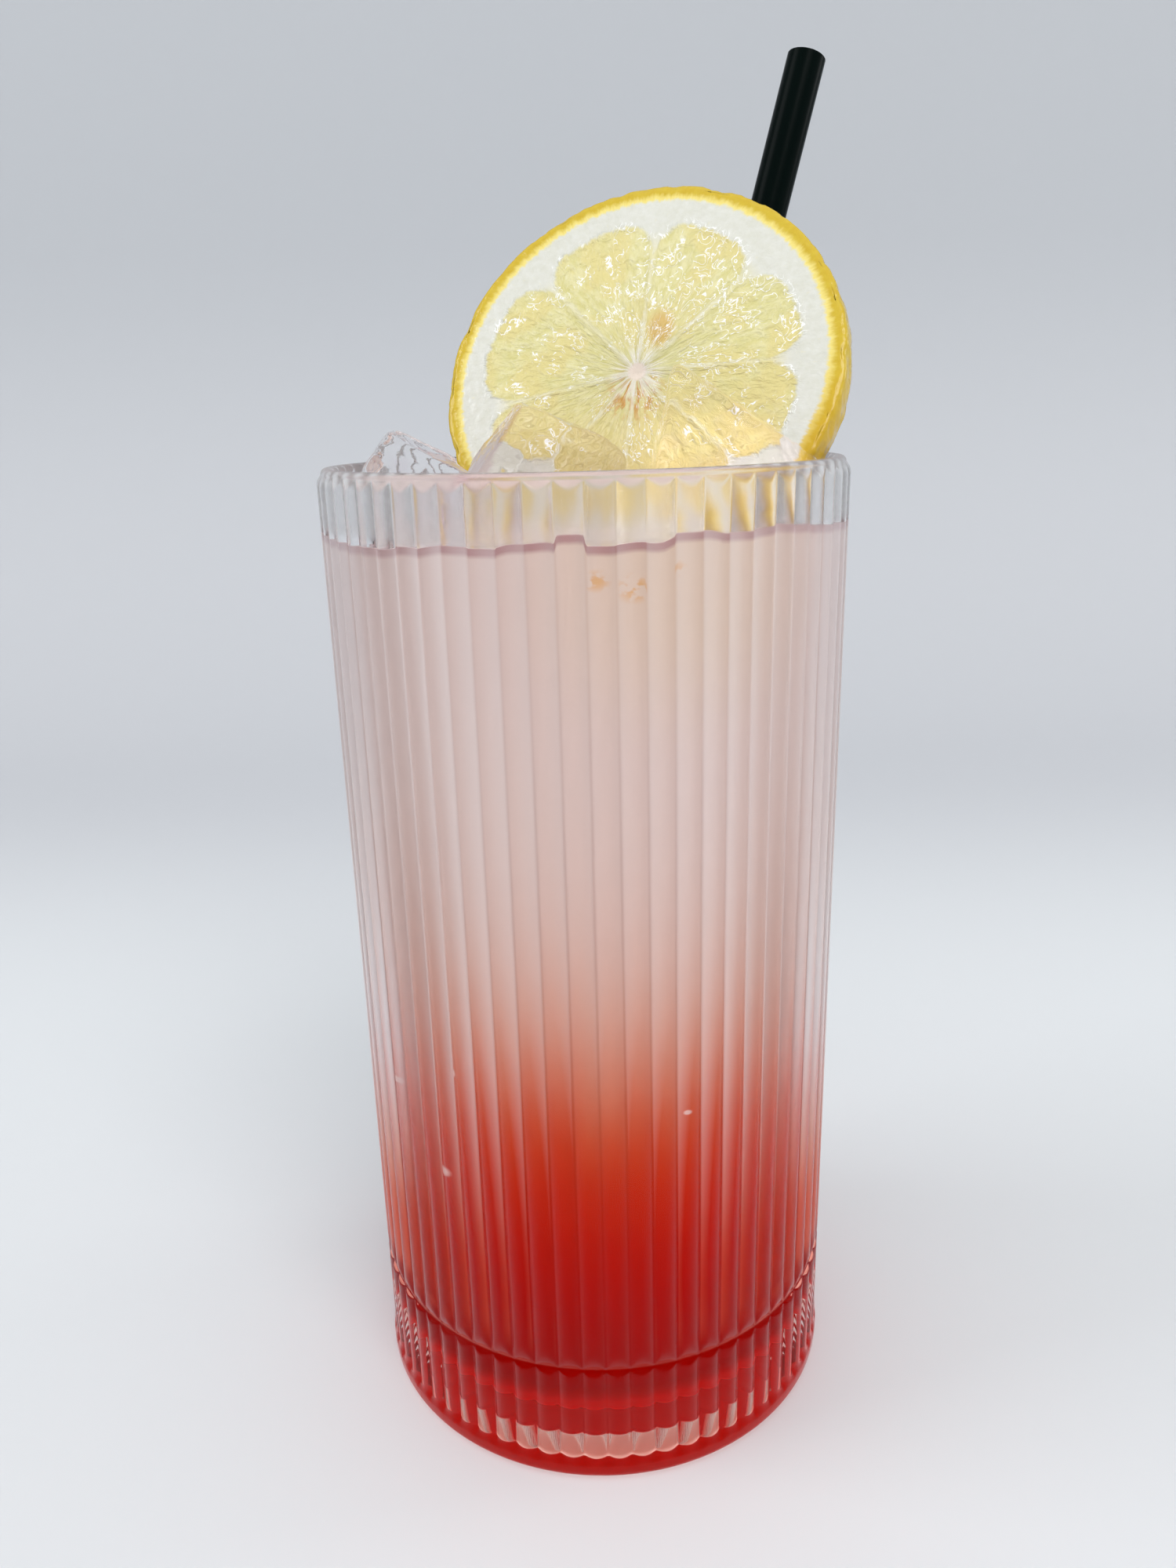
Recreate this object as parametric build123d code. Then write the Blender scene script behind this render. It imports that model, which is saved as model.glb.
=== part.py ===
"""Glass of pink lemonade: a tall reeded tumbler with a red syrup layer below a
cloudy pale layer, a lemon wheel standing in it, a black straw and clear ice.

Frame: millimetres, +Z up, the table at Z = 0, the glass axis on X = Y = 0.
The front of the drink faces -Y and the straw leans towards +X and +Y.
"""
import math
import os

from build123d import *

os.makedirs("parts", exist_ok=True)

# ---------------------------------------------------------------- glass sizes
glass_height = 146.0
crest_radius_low = 36.85
crest_radius_high = crest_radius_low + 0.6
reed_count = 65
reed_depth = 0.6
foot_flare = 0.25
foot_radius = crest_radius_low + foot_flare
foot_band = 2.8
foot_edge_round = 1.2
ring_inner_radius = foot_radius - 5.9
punt_radius = ring_inner_radius - 5.2
punt_depth = 2.5

# groove that parts the foot from the body, with a rounded shoulder above it
groove_height = 19.3
groove_root = 0.3
groove_depth = 0.7
shoulder_height = 3.6
shoulder_steps = 4

# inside of the glass
wall_low = 2.75
wall_high = 2.35
inner_radius_low = crest_radius_low - wall_low
inner_radius_high = crest_radius_high - wall_high
floor_height = 8.0
floor_corner = 9.0

# fire-polished lip
lip_round = 0.85
lip_start = 2.3

# plan positions inside the glass are written for this mouth radius
drawn_mouth = 35.1
mouth_scale = inner_radius_high / drawn_mouth

# ---------------------------------------------------------------- the drink
headroom = 9.0
fill_height = glass_height - headroom
syrup_height = 62.0

# ---------------------------------------------------------------- lemon wheel
lemon_radius = 29.2 * mouth_scale
lemon_thickness = 6.0
lemon_edge_round = 1.1
lemon_center = (8.7 * mouth_scale, 2.2 * mouth_scale, glass_height + 10.3)
lemon_turn = -20.0
lemon_lean = 28.0
rind_and_pith = 4.4
core_radius = 2.1
membrane = 0.9
segment_sink = 0.45
segment_round = 1.6
membrane_angles = (3.0, 45.0, 90.0, 137.0, 193.0, 234.0, 270.0, 317.0)

# ---------------------------------------------------------------- straw
straw_radius = 3.0
straw_wall = 0.35
straw_top = glass_height + 58.4
straw_foot = (-17.7 * mouth_scale, 1.0)
straw_rim_turn = 140.8
straw_clearance = 0.12

# ---------------------------------------------------------------- ice
ice_low = fill_height - 10.0
ice_left_peak = glass_height + 4.8
ice_front_peak = glass_height + 7.9
ice_right_peak = glass_height + 12.2
ice_round = 0.9
ice_clearance = 0.3


def reed_section(crest_radius, height):
    """Closed outline of convex reeds meeting in sharp cusps, as a face."""
    cusp_radius = crest_radius - reed_depth
    pitch = 360.0 / reed_count

    def at(radius, turn):
        angle = math.radians(turn - 90.0)
        return (radius * math.cos(angle), radius * math.sin(angle), height)

    arcs = []
    for index in range(reed_count):
        start = at(cusp_radius, index * pitch)
        crest = at(crest_radius, (index + 0.5) * pitch)
        end = at(cusp_radius, (index + 1) * pitch)
        arcs.append(ThreePointArc(start, crest, end))
    return make_face(arcs)


def turned(outline):
    """Revolve a closed (radius, height) outline about the glass axis."""
    return revolve(Plane.XZ * make_face(outline), Axis.Z, 360)


def crest_radius_at(height):
    share = height / glass_height
    return crest_radius_low + (crest_radius_high - crest_radius_low) * share


def inner_radius_at(height):
    share = height / glass_height
    return inner_radius_low + (inner_radius_high - inner_radius_low) * share


def cavity_outline(top):
    """Half outline of the inside of the glass, up to the height given."""
    corner_top = floor_height + floor_corner
    wall_foot = (inner_radius_at(corner_top), corner_top)
    flat_end = (wall_foot[0] - floor_corner, floor_height)
    corner_mid = (
        flat_end[0] + floor_corner * math.sin(math.radians(45.0)),
        corner_top - floor_corner * math.cos(math.radians(45.0)),
    )
    wall_top = (inner_radius_at(top), top)
    return [
        Line((0.0, floor_height), flat_end),
        ThreePointArc(flat_end, corner_mid, wall_foot),
        Line(wall_foot, wall_top),
        Line(wall_top, (0.0, top)),
        Line((0.0, top), (0.0, floor_height)),
    ]


def glass_envelope():
    """Turned shape that trims the reeds to the foot, the groove and the lip."""
    clear_radius = crest_radius_high + 1.0
    shoulder_foot = groove_height + groove_root
    shoulder_top = shoulder_foot + shoulder_height
    shoulder_radius = crest_radius_at(shoulder_top) + 0.02
    groove_floor = shoulder_radius - groove_depth
    # short cones that leave the groove and turn upright into the wall
    shoulder = []
    for step in range(shoulder_steps + 1):
        drop = 1.0 - step / shoulder_steps
        shoulder.append(
            (shoulder_radius - groove_depth * drop**2, shoulder_top - shoulder_height * drop)
        )
    lip_center = glass_height - lip_round
    lip_outer = inner_radius_at(lip_center) + 2.0 * lip_round
    lip_mid = inner_radius_at(lip_center) + lip_round
    edge_mid = foot_edge_round * (1.0 - math.sin(math.radians(45.0)))
    reed_end = (crest_radius_at(glass_height - lip_start) + 0.02, glass_height - lip_start)
    lines = [
        Line((0.0, punt_depth), (punt_radius, punt_depth)),
        Line((punt_radius, punt_depth), (ring_inner_radius, 0.0)),
        Line((ring_inner_radius, 0.0), (foot_radius - foot_edge_round, 0.0)),
        ThreePointArc(
            (foot_radius - foot_edge_round, 0.0),
            (foot_radius - edge_mid, edge_mid),
            (foot_radius, foot_edge_round),
        ),
        Line((foot_radius, foot_edge_round), (foot_radius, foot_band)),
        Line((foot_radius, foot_band), (clear_radius, foot_band)),
        Line((clear_radius, foot_band), (clear_radius, groove_height)),
        Line((clear_radius, groove_height), (groove_floor, groove_height)),
        Line((groove_floor, groove_height), (groove_floor, shoulder_foot)),
        Line((shoulder_radius, shoulder_top), (clear_radius, shoulder_top)),
        Line((clear_radius, shoulder_top), (clear_radius, glass_height - lip_start)),
        Line((clear_radius, glass_height - lip_start), reed_end),
        Line(reed_end, (lip_outer, lip_center)),
        ThreePointArc(
            (lip_outer, lip_center),
            (lip_mid, glass_height),
            (inner_radius_at(lip_center), lip_center),
        ),
        Line((inner_radius_at(lip_center), lip_center), (0.0, lip_center)),
        Line((0.0, lip_center), (0.0, punt_depth)),
    ]
    for low_end, high_end in zip(shoulder[:-1], shoulder[1:]):
        lines.append(Line(low_end, high_end))
    return turned(lines)


def make_glass():
    foot_face = reed_section(crest_radius_at(0.0), 0.0)
    rim_face = reed_section(crest_radius_at(glass_height), glass_height)
    blank = loft([foot_face, rim_face], ruled=True)
    band = Pos(0, 0, foot_band / 2.0) * Cylinder(foot_radius, foot_band)
    inside = turned(cavity_outline(glass_height - lip_round))
    return ((blank + band) & glass_envelope()) - inside


def wheel_frame():
    """Plane of the lemon wheel: x to its right, y to its top, z out of its face."""
    turn = math.radians(lemon_turn)
    lean = math.radians(lemon_lean)
    out = (
        math.sin(turn) * math.cos(lean),
        -math.cos(turn) * math.cos(lean),
        math.sin(lean),
    )
    right = (math.cos(turn), math.sin(turn), 0.0)
    return Plane(origin=lemon_center, x_dir=right, z_dir=out)


def segment_pocket(start_angle, end_angle):
    """Sunk flesh of one segment: a rounded wedge between two membranes."""
    outer = lemon_radius - rind_and_pith
    half = membrane / 2.0
    points = []
    for angle, side in ((start_angle, 1.0), (end_angle, -1.0)):
        turn = math.radians(angle)
        along = (math.cos(turn), math.sin(turn))
        across = (-math.sin(turn) * side * half, math.cos(turn) * side * half)
        near = core_radius + half / math.tan(math.radians(end_angle - start_angle) / 2.0)
        points.append((along[0] * near + across[0], along[1] * near + across[1]))
        points.append((along[0] * outer + across[0], along[1] * outer + across[1]))
    middle = math.radians((start_angle + end_angle) / 2.0)
    crown = (math.cos(middle) * outer, math.sin(middle) * outer)
    edges = [
        Line(points[0], points[1]),
        ThreePointArc(points[1], crown, points[3]),
        Line(points[3], points[2]),
        Line(points[2], points[0]),
    ]
    wedge = make_face(edges)
    corners = wedge.vertices().sort_by(lambda v: math.hypot(v.X, v.Y))[-2:]
    return fillet(corners, segment_round)


def make_lemon():
    wheel = Cylinder(lemon_radius, lemon_thickness)
    wheel = fillet(wheel.edges().filter_by(GeomType.CIRCLE), lemon_edge_round)
    face_height = lemon_thickness / 2.0
    for index, start_angle in enumerate(membrane_angles):
        following = membrane_angles[(index + 1) % len(membrane_angles)]
        end_angle = following if following > start_angle else following + 360.0
        pocket = segment_pocket(start_angle, end_angle)
        front = extrude(Pos(0, 0, face_height - segment_sink) * pocket, segment_sink * 2.0)
        back = extrude(Pos(0, 0, -face_height - segment_sink) * pocket, segment_sink * 2.0)
        wheel = wheel - front - back
    return wheel_frame().location * wheel


def straw_line():
    """Foot point and direction of the straw, which leans on the inside of the rim."""
    rim_height = glass_height - lip_round
    reach = inner_radius_at(rim_height) - straw_radius - straw_clearance
    turn = math.radians(straw_rim_turn)
    rim = Vector(reach * math.sin(turn), -reach * math.cos(turn), rim_height)
    low = Vector(straw_foot[0], straw_foot[1], floor_height)
    direction = (rim - low).normalized()
    # the rim meets the leaning straw a little wider than its own radius
    widen = straw_radius * (1.0 / direction.Z - 1.0)
    rim = rim - Vector(math.sin(turn), -math.cos(turn), 0.0) * widen
    direction = (rim - low).normalized()
    lift = straw_radius * math.hypot(direction.X, direction.Y) + straw_clearance
    foot = low + direction * (lift / direction.Z)
    return foot, direction


def straw_rod(radius, foot_extra=0.0):
    foot, direction = straw_line()
    length = (straw_top - foot.Z) / direction.Z
    base = Plane(origin=foot - direction * foot_extra, z_dir=direction)
    return extrude(base * Circle(radius), length + 2.0 * foot_extra)


def make_straw():
    return straw_rod(straw_radius) - straw_rod(straw_radius - straw_wall, 1.0)


def ice_block(low, high, turn, cuts):
    """Melting block of ice: a box trimmed by slanting faces, with worn edges.

    low and high are the box's corners. Each cut is (direction, slope, point): the
    face looks towards that direction, rises by that slope from upright, and runs
    through that point. Plan positions follow the glass's mouth.
    """
    low = (low[0] * mouth_scale, low[1] * mouth_scale, low[2])
    high = (high[0] * mouth_scale, high[1] * mouth_scale, high[2])
    size = [top - bottom for bottom, top in zip(low, high)]
    middle = [(bottom + top) / 2.0 for bottom, top in zip(low, high)]
    block = Pos(*middle) * Rot(0, 0, turn) * Box(*size)
    for direction, slope, point in cuts:
        heading = math.radians(direction)
        rise = math.radians(slope)
        normal = (
            math.cos(heading) * math.cos(rise),
            math.sin(heading) * math.cos(rise),
            math.sin(rise),
        )
        spot = (point[0] * mouth_scale, point[1] * mouth_scale, point[2])
        keep = Plane(origin=spot, z_dir=normal)
        block = block & (keep.location * Pos(0, 0, -60) * Box(120, 120, 120))
    return fillet(block.edges(), ice_round)


def largest(shape):
    """The biggest solid of a shape that a cut has left in pieces."""
    return shape.solids().sort_by(SortBy.VOLUME)[-1]


def make_ice():
    """The three pieces that stand out of the drink, clear of the wall and the wheel."""
    reach = inner_radius_at(ice_low) - ice_clearance
    room = Pos(0, 0, ice_low + 50.0) * Cylinder(reach, 100.0)
    wheel = wheel_frame().location * Cylinder(
        lemon_radius + ice_clearance, lemon_thickness + 2.0 * ice_clearance
    )
    left = ice_block(
        (-31.5, -11.0, ice_low),
        (-13.0, 11.0, ice_left_peak + 3.2),
        9.0,
        [
            (0.0, 61.0, (-26.5, 0.0, ice_left_peak)),
            (180.0, 26.0, (-27.5, 0.0, ice_left_peak)),
            (-70.0, 48.0, (-25.0, -5.5, ice_left_peak - 1.5)),
            (80.0, 40.0, (-25.0, 7.5, ice_left_peak - 2.0)),
        ],
    )
    front = ice_block(
        (-15.5, -28.0, ice_low),
        (6.0, -12.5, ice_front_peak + 2.1),
        -5.0,
        [
            (0.0, 67.0, (-7.4, -18.0, ice_front_peak)),
            (10.0, 44.0, (1.5, -18.0, ice_front_peak - 3.4)),
            (190.0, 38.0, (-8.2, -18.0, ice_front_peak)),
            (-80.0, 42.0, (-8.0, -20.5, ice_front_peak)),
        ],
    )
    right = ice_block(
        (8.0, -27.0, ice_low),
        (31.0, -8.0, ice_right_peak + 1.8),
        -4.0,
        [
            (-10.0, 57.0, (12.6, -13.0, ice_right_peak)),
            (178.0, 13.0, (11.8, -13.0, ice_right_peak)),
            (-95.0, 30.0, (12.0, -15.5, ice_right_peak)),
            (-40.0, 25.0, (27.0, -20.0, ice_right_peak - 12.2)),
        ],
    )
    return [largest((block & room) - wheel) for block in (left, front, right)]


def layer(bottom, top, whole):
    """Slice of the drink between two levels."""
    slab = Pos(0, 0, (bottom + top) / 2.0) * Cylinder(foot_radius + 5.0, top - bottom)
    return whole & slab


glass = make_glass()
lemon = make_lemon()
straw = make_straw()
ice_left, ice_front, ice_right = make_ice()

drink = turned(cavity_outline(fill_height))
drink = drink - straw_rod(straw_radius) - lemon
drink = drink - ice_left - ice_front - ice_right
syrup = layer(0.0, syrup_height, drink)
lemonade = layer(syrup_height, fill_height + 1.0, drink)

nodes = {
    "glass": glass,
    "syrup": syrup,
    "lemonade": lemonade,
    "lemon_wheel": lemon,
    "straw": straw,
    "ice_left": ice_left,
    "ice_front": ice_front,
    "ice_right": ice_right,
}

for name, shape in nodes.items():
    solids = shape.solids()
    print(name, len(solids), "solid", round(shape.volume / 1000.0, 2), "cm3", shape.is_valid)
    export_step(shape, "parts/" + name + ".step")
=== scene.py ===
"""Looks of the glass of pink lemonade: reeded tumbler, layered drink, lemon wheel,
straw and ice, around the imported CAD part. Lengths in the helpers are millimetres.
"""
import math

import bpy
import numpy as np
from mathutils import Matrix, Vector


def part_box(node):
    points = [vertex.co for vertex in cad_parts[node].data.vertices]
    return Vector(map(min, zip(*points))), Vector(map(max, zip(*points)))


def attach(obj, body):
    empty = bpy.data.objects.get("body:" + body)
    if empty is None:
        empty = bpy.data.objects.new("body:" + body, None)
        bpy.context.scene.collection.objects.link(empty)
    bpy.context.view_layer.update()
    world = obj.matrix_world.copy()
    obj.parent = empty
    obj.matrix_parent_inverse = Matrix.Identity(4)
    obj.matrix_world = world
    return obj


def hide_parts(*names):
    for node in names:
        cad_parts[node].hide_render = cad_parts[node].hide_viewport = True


MM = 0.001
DEG = math.pi / 180
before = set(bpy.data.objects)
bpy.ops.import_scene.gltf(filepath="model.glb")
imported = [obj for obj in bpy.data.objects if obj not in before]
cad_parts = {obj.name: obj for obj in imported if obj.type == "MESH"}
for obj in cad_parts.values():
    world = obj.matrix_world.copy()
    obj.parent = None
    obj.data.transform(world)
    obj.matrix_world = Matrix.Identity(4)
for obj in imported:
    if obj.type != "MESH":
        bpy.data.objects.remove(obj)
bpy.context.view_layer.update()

# ------------------------------------------------------------------ named sizes
GLASS_H = 146.0
CREST_LOW, CREST_HIGH = 36.85, 37.45
REEDS, REED_DEPTH = 65, 0.6
FOOT_R, FOOT_BAND, FOOT_EDGE_R = 37.1, 2.8, 1.2
RING_IN, PUNT_R, PUNT_DEPTH = 31.2, 26.0, 2.5
GROOVE_Z, GROOVE_ROOT, GROOVE_DEPTH, SHOULDER_H = 19.3, 0.3, 0.7, 3.6
INNER_LOW, INNER_HIGH = 34.1, 35.1
FLOOR_Z, CORNER_R = 8.0, 9.0
LIP_R, LIP_START = 0.85, 2.3
# mesh points across a reed, how far they crowd to its cusps, and the painted shade line along
# the cusps
POINTS_PER_REED, CUSP_CROWD = 16, 0.0275
CUSP_R, CUSP_SHADE_WIDTH = 36.5, 0.22
FILL_Z = 137.0
WET = 0.15  # how far the drink reaches into the wall, so that no air gap shows
LEMON_R, LEMON_T = 29.2, 6.0
LEMON_C = (8.7, 2.2, 156.3)
LEMON_TURN, LEMON_LEAN = -20.0, 28.0
LEMON_EDGE_R = 1.1
SIN_45 = 0.707
PITH_W, CORE_R = 6.2, 2.1
MEMBRANES = (3.0, 45.0, 90.0, 137.0, 193.0, 234.0, 270.0, 317.0)
ICE_VOXEL = 0.45
DRINK_POINTS, LEMON_POINTS = 390, 360  # mesh points around

GLASS_IOR, WATER_IOR = 1.5, 1.333
ICE_IOR = 1.17  # under the real 1.31, so that the small lumps stay as clear as wet ice looks


def crest_at(z):
    return CREST_LOW + (CREST_HIGH - CREST_LOW) * z / GLASS_H


def inner_at(z):
    return INNER_LOW + (INNER_HIGH - INNER_LOW) * z / GLASS_H


# ------------------------------------------------------------------ mesh helpers
def new_mesh(name, verts, faces, material):
    """Smooth-shaded object with one material or a list of them."""
    me = bpy.data.meshes.new(name)
    me.from_pydata([tuple(v) for v in verts], [], [tuple(f) for f in faces])
    me.update()
    me.polygons.foreach_set("use_smooth", [True] * len(me.polygons))
    ob = bpy.data.objects.new(name, me)
    bpy.context.scene.collection.objects.link(ob)
    for m in material if isinstance(material, (list, tuple)) else [material]:
        me.materials.append(m)
    return ob


def grid_faces(rings, count):
    """Quads between closed rings of count points each."""
    k = np.arange(count)
    n = (k + 1) % count
    out = []
    for i in range(rings - 1):
        a, b = i * count, (i + 1) * count
        out.append(np.stack([a + k, a + n, b + n, b + k], 1))
    return np.concatenate(out)


def put_values(me, name, values):
    """One number at each vertex, for the materials to read."""
    at = me.attributes.new(name, "FLOAT", "POINT")
    at.data.foreach_set("value", values.astype(np.float32))


def lathe(name, rows, turns, material, center_low, center_high):
    """Closed skin from rows of (radius, z), each a number or an array over the turns."""
    count = len(turns)
    verts = []
    for radius, z in rows:
        r = np.broadcast_to(np.asarray(radius, float), (count,))
        h = np.broadcast_to(np.asarray(z, float), (count,))
        verts.append(np.stack([r * np.sin(turns), -r * np.cos(turns), h], 1))
    verts = np.concatenate(verts) * MM
    low, top = len(verts), (len(rows) - 1) * count
    faces = [list(f) for f in grid_faces(len(rows), count)]
    faces += [[low, (i + 1) % count, i] for i in range(count)]
    faces += [[low + 1, top + i, top + (i + 1) % count] for i in range(count)]
    centers = np.array([(0, 0, center_low * MM), (0, 0, center_high * MM)])
    return new_mesh(name, np.concatenate([verts, centers]), faces, material)


SHUFFLE = np.random.RandomState(7).permutation(256)
SLOPES = np.random.RandomState(8).normal(size=(256, 3))
SLOPES /= np.linalg.norm(SLOPES, axis=1)[:, None]


def noise3(points):
    """Smooth gradient noise, about -0.7 to 0.7, at rows of points."""
    points = np.asarray(points, float)
    cell = np.floor(points).astype(int)
    f = points - cell
    w = f * f * f * (f * (f * 6 - 15) + 10)
    total = np.zeros(len(points))
    for corner in range(8):
        o = np.array([corner & 1, corner >> 1 & 1, corner >> 2 & 1])
        c = (cell + o) & 255
        h = SHUFFLE[(SHUFFLE[(SHUFFLE[c[:, 0]] + c[:, 1]) & 255] + c[:, 2]) & 255]
        share = np.prod(np.where(o, w, 1 - w), axis=1)
        total += share * np.einsum("ij,ij->i", SLOPES[h], f - o)
    return total


def soft_min(a, b, k):
    """The smaller of two, rounded over where they come within k of each other."""
    h = np.clip(0.5 + 0.5 * (b - a) / k, 0, 1)
    return b * (1 - h) + a * h - k * h * (1 - h)


# ------------------------------------------------------------------ node helpers
class Nodes:
    """A short way to write a node tree."""

    def __init__(self, name):
        self.mat = bpy.data.materials.new(name)
        self.mat.use_nodes = True
        self.nt = self.mat.node_tree
        self.nt.nodes.clear()
        self.out = self.nt.nodes.new("ShaderNodeOutputMaterial")

    def add(self, kind, inputs=None, **props):
        n = self.nt.nodes.new("ShaderNode" + kind)
        for k, v in props.items():
            setattr(n, k, v)
        for k, v in (inputs or {}).items():
            self.put(n.inputs[k], v)
        return n

    def put(self, socket, v):
        """Link a node or socket, or set a plain value."""
        if hasattr(v, "outputs"):
            v = v.outputs[0]
        if hasattr(v, "is_output"):
            self.nt.links.new(v, socket)
        elif isinstance(v, (tuple, list)) and len(v) == 3 and socket.type == "RGBA":
            socket.default_value = (*v, 1.0)
        else:
            socket.default_value = v

    def math(self, op, a, b=0.0):
        return self.add("Math", {0: a, 1: b}, operation=op).outputs[0]

    def vmath(self, op, a, b=(0, 0, 0)):
        n = self.add("VectorMath", {0: a, 1: b}, operation=op)
        return n.outputs["Value" if op in ("LENGTH", "DISTANCE") else "Vector"]

    def noise(self, vector, scale, detail=2.0, rough=0.5, distortion=0.0):
        n = self.add(
            "TexNoise",
            {"Vector": vector, "Scale": scale, "Detail": detail, "Roughness": rough,
             "Distortion": distortion},
        )
        return n.outputs["Fac"]

    def span(self, value, lo, hi, to_lo=0.0, to_hi=1.0):
        """Smooth step from to_lo at lo to to_hi at hi, which may lie either way round."""
        n = self.add(
            "MapRange",
            {0: value, 1: lo, 2: hi, 3: to_lo, 4: to_hi},
            interpolation_type="SMOOTHSTEP",
        )
        return n.outputs[0]

    def attribute(self, name):
        return self.add("Attribute", attribute_name=name).outputs["Fac"]

    def spot(self, pos, place, wide, narrow):
        """1 inside narrow of a place, falling to 0 at wide."""
        return self.span(self.vmath("DISTANCE", pos, place), wide, narrow)

    def mix(self, fac, a, b, blend="MIX"):
        n = self.add("Mix", data_type="RGBA", blend_type=blend)
        self.put(n.inputs["Factor"], fac)
        self.put(n.inputs[6], a)
        self.put(n.inputs[7], b)
        return n.outputs[2]

    def bump(self, height, strength, distance):
        n = self.add("Bump", {"Height": height, "Strength": strength, "Distance": distance})
        return n.outputs[0]

    def lit_through(self, shader):
        """Lamps reach what is behind clear glass or ice."""
        path = self.add("LightPath")
        clear = self.add("BsdfTransparent")
        return self.add("MixShader", {0: path.outputs["Is Shadow Ray"], 1: shader, 2: clear})

    def finish(self, shader):
        self.put(self.out.inputs["Surface"], shader)
        return self.mat


def lin(r, g, b):
    """Linear colour from plain 0-255 values."""
    out = []
    for v in (r, g, b):
        v = v / 255.0
        out.append(v / 12.92 if v <= 0.04045 else ((v + 0.055) / 1.055) ** 2.4)
    return tuple(out)


# ------------------------------------------------------------------ glass
def glass_material():
    n = Nodes("clear_glass")
    coord = n.add("TexCoord").outputs["Object"]
    wave = n.noise(coord, 90.0, 1.0)
    # painted shade: a little darker along the cusps, where two reeds meet
    tone = n.mix(n.attribute("cusp"), (1.0, 1.0, 1.0), (0.80, 0.76, 0.76))
    # painted light: the wall round the syrup and the thick foot are tinted with its red,
    # standing in for the syrup's light seen through them
    z = n.add("SeparateXYZ", {0: coord}).outputs["Z"]
    painted_syrup_red = n.math("MULTIPLY", n.span(z, 0.046, 0.030), n.span(z, 0.006, 0.014))
    tone = n.mix(painted_syrup_red, tone, (1.0, 0.40, 0.32))
    tone = n.mix(n.span(z, 0.0085, 0.0045), tone, (1.0, 0.74, 0.66))
    # the dry wall above the drink is misted
    mist = n.span(z, 0.1370, 0.1385, 0.0, 0.26)
    p = n.add(
        "BsdfPrincipled",
        {
            "Base Color": tone,
            "Roughness": mist,
            "IOR": GLASS_IOR,
            "Transmission Weight": 1.0,
            "Specular Tint": (0.04, 0.04, 0.04),
            "Normal": n.bump(wave, 0.12, 0.0006),
        },
    )
    return n.finish(n.lit_through(p))


def reed_radius(turns, z):
    """Outer radius of the reeds at every turn, at one height."""
    pitch = 2 * math.pi / REEDS
    crest = crest_at(z)
    cusp = crest - REED_DEPTH
    half = pitch / 2
    center = (crest**2 - cusp**2) / (2 * (crest - cusp * math.cos(half)))
    arc = crest - center
    d = np.mod(turns, pitch) - half
    return center * np.cos(d) + np.sqrt(np.maximum(arc**2 - (center * np.sin(d)) ** 2, 0))


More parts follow.
